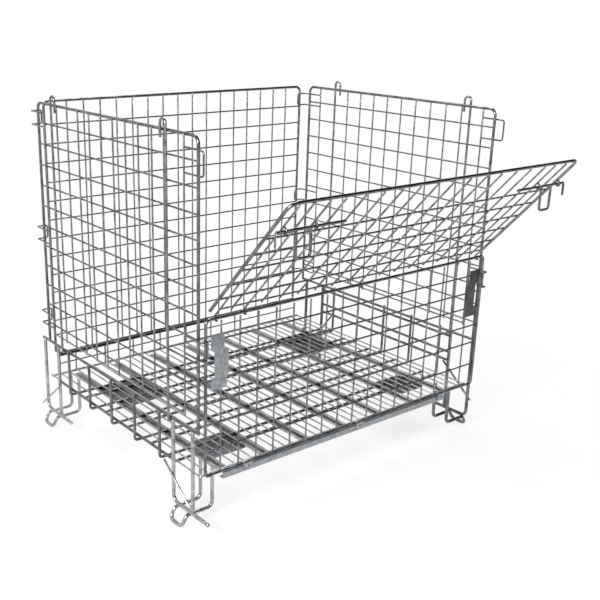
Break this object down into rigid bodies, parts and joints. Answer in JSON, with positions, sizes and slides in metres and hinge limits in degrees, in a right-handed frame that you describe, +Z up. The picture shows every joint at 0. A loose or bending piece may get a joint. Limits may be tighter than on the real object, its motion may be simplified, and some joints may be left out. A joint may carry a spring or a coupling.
{
  "type": "folding wire mesh container",
  "caption": "Zinc-plated folding wire mesh pallet cage on bent-rod feet, with hinged walls, a drop gate in the front half wall, slide bolts and lift latches.",
  "frame": {"origin": "on the floor under the middle of the four feet, midway between the side walls", "axes": "+X to the right along the front, +Y from the drop-gate front to the back, +Z up"},
  "size_m": [1.26, 1.3335, 1.1916],
  "materials": {
    "zinc_wire": "bright zinc-plated drawn wire",
    "zinc_rod": "bright zinc-plated rod, slightly greyer than the wires",
    "zinc_sheet": "zinc-plated pressed sheet",
    "dull_plate": "dull dark steel plate"
  },
  "bodies": {
    "base": {"back_hinge_lug_1": "zinc_sheet", "back_hinge_lug_2": "zinc_sheet", "back_hinge_lug_3": "zinc_sheet", "back_kerb": "zinc_rod", "deck_mesh": "zinc_wire", "edge_rod_left": "zinc_rod", "edge_rod_right": "zinc_rod", "foot_frame_back_left": "zinc_rod", "foot_frame_back_right": "zinc_rod", "foot_frame_front_left": "zinc_rod", "foot_frame_front_right": "zinc_rod", "foot_skid_back_left": "zinc_rod", "foot_skid_back_right": "zinc_rod", "foot_skid_front_left": "zinc_rod", "foot_skid_front_right": "zinc_rod", "front_hinge_lug_1": "zinc_sheet", "front_hinge_lug_2": "zinc_sheet", "front_hinge_lug_3": "zinc_sheet", "front_sill": "zinc_sheet", "kerb_low_rail_right": "zinc_rod", "kerb_post_left_1": "zinc_rod", "kerb_post_left_2": "zinc_rod", "kerb_post_left_3": "zinc_rod", "kerb_post_left_4": "zinc_rod", "kerb_post_left_5": "zinc_rod", "kerb_post_right_1": "zinc_rod", "kerb_post_right_2": "zinc_rod", "kerb_post_right_3": "zinc_rod", "kerb_post_right_4": "zinc_rod", "kerb_post_right_5": "zinc_rod", "kerb_rail_left": "zinc_rod", "kerb_rail_right": "zinc_rod", "kerb_twin_rail_right": "zinc_rod", "load_plate_back_left": "dull_plate", "load_plate_back_right": "dull_plate", "load_plate_front_left": "dull_plate", "load_plate_front_right": "dull_plate", "underframe": "zinc_rod"},
    "left_wall": {"left_wall_frame": "zinc_rod", "left_wall_uprights": "zinc_wire"},
    "right_wall": {"right_wall_frame": "zinc_rod", "right_wall_uprights": "zinc_wire"},
    "back_wall": {"back_wall_frame": "zinc_rod", "back_wall_uprights": "zinc_wire"},
    "front_wall": {"front_wall_frame": "zinc_rod", "front_wall_uprights": "zinc_wire"},
    "latch_slider_left": {"latch_plate_left": "zinc_sheet"},
    "latch_slider_right": {"latch_plate_right": "zinc_sheet"},
    "gate": {"gate_frame": "zinc_rod", "gate_uprights": "zinc_wire", "bolt_staple_inner_left": "zinc_rod", "bolt_staple_inner_right": "zinc_rod", "bolt_staple_outer_left": "zinc_rod", "bolt_staple_outer_right": "zinc_rod"},
    "bolt_slider_left": {"bolt_left": "zinc_rod"},
    "bolt_slider_right": {"bolt_right": "zinc_rod"},
    "handle_left": {"bolt_handle_left": "zinc_rod"},
    "handle_right": {"bolt_handle_right": "zinc_rod"}
  },
  "joints": [
    {"name": "left_wall_fold", "type": "hinge", "parent": "base", "child": "left_wall", "pos_m": [-0.598, 0, 0.322], "axis": [0, 1, 0], "range_deg": [0, 90]},
    {"name": "right_wall_fold", "type": "hinge", "parent": "base", "child": "right_wall", "pos_m": [0.598, 0, 0.35], "axis": [0, -1, 0], "range_deg": [0, 90]},
    {"name": "back_wall_fold", "type": "hinge", "parent": "base", "child": "back_wall", "pos_m": [0, 0.478, 0.26], "axis": [1, 0, 0], "range_deg": [0, 90]},
    {"name": "front_wall_fold", "type": "hinge", "parent": "base", "child": "front_wall", "pos_m": [0, -0.4697, 0.1865], "axis": [-1, 0, 0], "range_deg": [0, 90]},
    {"name": "gate_drop", "type": "hinge", "parent": "front_wall", "child": "gate", "pos_m": [0, -0.4775, 0.665], "axis": [1, 0, 0], "range_deg": [-42.25, 132.75]},
    {"name": "bolt_left_slide", "type": "slide", "parent": "gate", "child": "bolt_slider_left", "axis": [1, 0, 0], "range_m": [-0.029, 0]},
    {"name": "bolt_right_slide", "type": "slide", "parent": "gate", "child": "bolt_slider_right", "axis": [-1, 0, 0], "range_m": [-0.029, 0]},
    {"name": "handle_left_swing", "type": "hinge", "parent": "bolt_slider_left", "child": "handle_left", "pos_m": [-0.468, -0.75374, 0.96392], "axis": [1, 0, 0], "range_deg": [-132.75, 42.25]},
    {"name": "handle_right_swing", "type": "hinge", "parent": "bolt_slider_right", "child": "handle_right", "pos_m": [0.468, -0.75374, 0.96392], "axis": [1, 0, 0], "range_deg": [-132.75, 42.25]},
    {"name": "latch_left_lift", "type": "slide", "parent": "front_wall", "child": "latch_slider_left", "axis": [0, 0, 1], "range_m": [0, 0.025]},
    {"name": "latch_right_lift", "type": "slide", "parent": "front_wall", "child": "latch_slider_right", "axis": [0, 0, 1], "range_m": [0, 0.025]}
  ],
  "couplings": [
    {"joint": "handle_left_swing", "follows": "gate_drop", "ratio": -1},
    {"joint": "handle_right_swing", "follows": "gate_drop", "ratio": -1}
  ]
}
